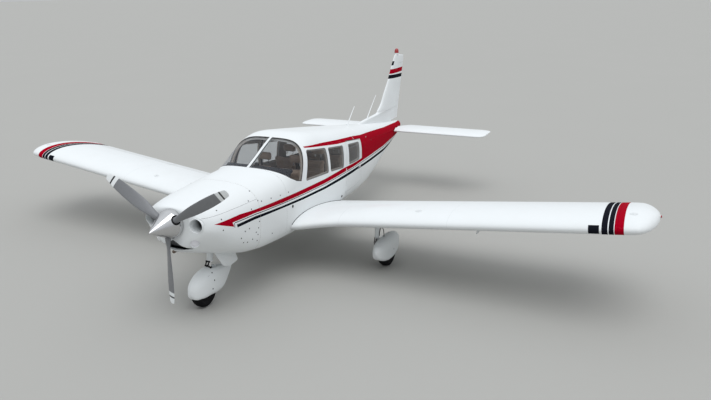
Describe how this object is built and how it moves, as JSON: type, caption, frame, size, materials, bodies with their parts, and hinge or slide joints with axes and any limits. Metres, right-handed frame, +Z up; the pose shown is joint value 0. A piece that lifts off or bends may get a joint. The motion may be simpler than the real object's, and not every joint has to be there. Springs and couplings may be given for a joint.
{
  "type": "light aircraft",
  "caption": "Low-wing, single-engined light aircraft on fixed, faired tricycle landing gear, with a cabin, opening doors and moving control surfaces.",
  "frame": {"origin": "centre of the bounding box, on the ground under the tyres", "axes": "+X to the nose, +Y to the left wing tip, +Z up"},
  "size_m": [8.5, 9.9986, 2.745],
  "materials": {
    "white_paint": "glossy white two-pack paint with deep red, black and white side stripes",
    "polished_metal": "polished bright aluminium",
    "blade_grey": "satin grey paint with white tips",
    "tinted_glass": "lightly smoked acrylic glazing",
    "tyre": "black ribbed aircraft tyre",
    "wheel": "white painted cast wheel",
    "seat_leather": "tan leather with sewn channels",
    "dark_plastic": "dark grained panel cover",
    "bare_steel": "bare and plated steel",
    "engine_iron": "dark cast metal"
  },
  "bodies": {
    "airframe": {"cowl_upper": "white_paint", "cowl_lower": "white_paint", "nose_section": "white_paint", "cabin_floor": "white_paint", "cabin_roof": "white_paint", "cabin_side_left": "white_paint", "cabin_side_right": "white_paint", "tail_cone": "white_paint", "fin": "white_paint", "nose_leg": "white_paint", "outlet_baffle": "white_paint", "wing_left": "white_paint", "wing_tip_left": "white_paint", "main_leg_left": "white_paint", "main_fairing_left": "white_paint", "windshield_left": "tinted_glass", "window_left_front": "tinted_glass", "window_left_middle": "tinted_glass", "seat_front_left": "seat_leather", "seat_middle_left": "seat_leather", "seat_rear_left": "seat_leather", "wing_right": "white_paint", "wing_tip_right": "white_paint", "main_leg_right": "white_paint", "main_fairing_right": "white_paint", "windshield_right": "tinted_glass", "window_right_middle": "tinted_glass", "window_right_rear": "tinted_glass", "seat_front_right": "seat_leather", "seat_middle_right": "seat_leather", "seat_rear_right": "seat_leather", "exhaust_pipe": "bare_steel", "engine": "engine_iron", "instrument_panel": "dark_plastic"},
    "propeller": {"propeller": "blade_grey", "spinner": "polished_metal"},
    "nose_strut": {"nose_fork": "bare_steel", "nose_fairing": "white_paint"},
    "nose_wheel": {"nose_tyre": "tyre", "nose_hub": "wheel"},
    "main_wheel_left": {"main_left_tyre": "tyre", "main_left_hub": "wheel"},
    "main_wheel_right": {"main_right_tyre": "tyre", "main_right_hub": "wheel"},
    "rudder": {"rudder": "white_paint"},
    "aileron_left": {"aileron_left": "white_paint"},
    "aileron_right": {"aileron_right": "white_paint"},
    "flap_left": {"flap_left": "white_paint"},
    "flap_right": {"flap_right": "white_paint"},
    "stabilator": {"stabilator": "white_paint"},
    "tab_left": {"stabilator_tab_left": "white_paint"},
    "tab_right": {"stabilator_tab_right": "white_paint"},
    "front_door": {"front_door": "white_paint", "window_right_front": "tinted_glass"},
    "rear_door": {"rear_door": "white_paint", "window_left_rear": "tinted_glass"},
    "nose_door": {"nose_baggage_door": "white_paint"}
  },
  "joints": [
    {"name": "propeller_spin", "type": "hinge", "parent": "airframe", "child": "propeller", "pos_m": [3.915, 0, 1.32], "axis": [1, 0, 0], "continuous": true},
    {"name": "nose_steering", "type": "hinge", "parent": "airframe", "child": "nose_strut", "pos_m": [3.114, 0, 0.43], "axis": [-0.1472, 0, 0.9891], "range_deg": [-24, 24]},
    {"name": "nose_wheel_spin", "type": "hinge", "parent": "nose_strut", "child": "nose_wheel", "pos_m": [3.257, 0, 0.222], "axis": [0, 1, 0], "continuous": true},
    {"name": "main_wheel_left_spin", "type": "hinge", "parent": "airframe", "child": "main_wheel_left", "pos_m": [0.86, 1.61, 0.222], "axis": [0, 1, 0], "continuous": true},
    {"name": "main_wheel_right_spin", "type": "hinge", "parent": "airframe", "child": "main_wheel_right", "pos_m": [0.86, -1.61, 0.222], "axis": [0, 1, 0], "continuous": true},
    {"name": "rudder_hinge", "type": "hinge", "parent": "airframe", "child": "rudder", "pos_m": [-3.63, 0, 1.3], "axis": [-0.2844, 0, 0.9587], "range_deg": [-27, 27]},
    {"name": "aileron_left_hinge", "type": "hinge", "parent": "airframe", "child": "aileron_left", "pos_m": [0.4611, 3.57032, 1.05989], "axis": [0, 0.9925, 0.1219], "range_deg": [-15, 30]},
    {"name": "aileron_right_hinge", "type": "hinge", "parent": "airframe", "child": "aileron_right", "pos_m": [0.4611, -3.57032, 1.05989], "axis": [0, 0.9925, -0.1219], "range_deg": [-15, 30]},
    {"name": "flap_left_hinge", "type": "hinge", "parent": "airframe", "child": "flap_left", "pos_m": [0.4611, 1.6944, 0.82956], "axis": [0, -0.9925, -0.1219], "range_deg": [0, 40]},
    {"name": "flap_right_hinge", "type": "hinge", "parent": "airframe", "child": "flap_right", "pos_m": [0.4611, -1.6944, 0.82956], "axis": [0, -0.9925, 0.1219], "range_deg": [0, 40]},
    {"name": "stabilator_pivot", "type": "hinge", "parent": "airframe", "child": "stabilator", "pos_m": [-3.475, 0, 1.15], "axis": [0, 1, 0], "range_deg": [-2, 16]},
    {"name": "tab_left_hinge", "type": "hinge", "parent": "stabilator", "child": "tab_left", "pos_m": [-3.91, 0.985, 1.15], "axis": [0, 1, 0], "range_deg": [-2, 10]},
    {"name": "tab_right_hinge", "type": "hinge", "parent": "stabilator", "child": "tab_right", "pos_m": [-3.91, -0.985, 1.15], "axis": [0, 1, 0], "range_deg": [-2, 10]},
    {"name": "front_door_hinge", "type": "hinge", "parent": "airframe", "child": "front_door", "pos_m": [1.606, -0.626, 1], "axis": [0, 0, 1], "range_deg": [0, 75]},
    {"name": "rear_door_hinge", "type": "hinge", "parent": "airframe", "child": "rear_door", "pos_m": [0.056, 0.609, 1], "axis": [0, 0, -1], "range_deg": [0, 85]},
    {"name": "nose_door_hinge", "type": "hinge", "parent": "airframe", "child": "nose_door", "pos_m": [2.405, -0.61, 1.331], "axis": [-1, 0, 0], "range_deg": [0, 95]}
  ],
  "couplings": [
    {"joint": "rudder_hinge", "follows": "nose_steering", "ratio": -1.125},
    {"joint": "flap_right_hinge", "follows": "flap_left_hinge", "ratio": 1},
    {"joint": "tab_left_hinge", "follows": "stabilator_pivot", "ratio": 0.6},
    {"joint": "tab_right_hinge", "follows": "stabilator_pivot", "ratio": 0.6}
  ]
}
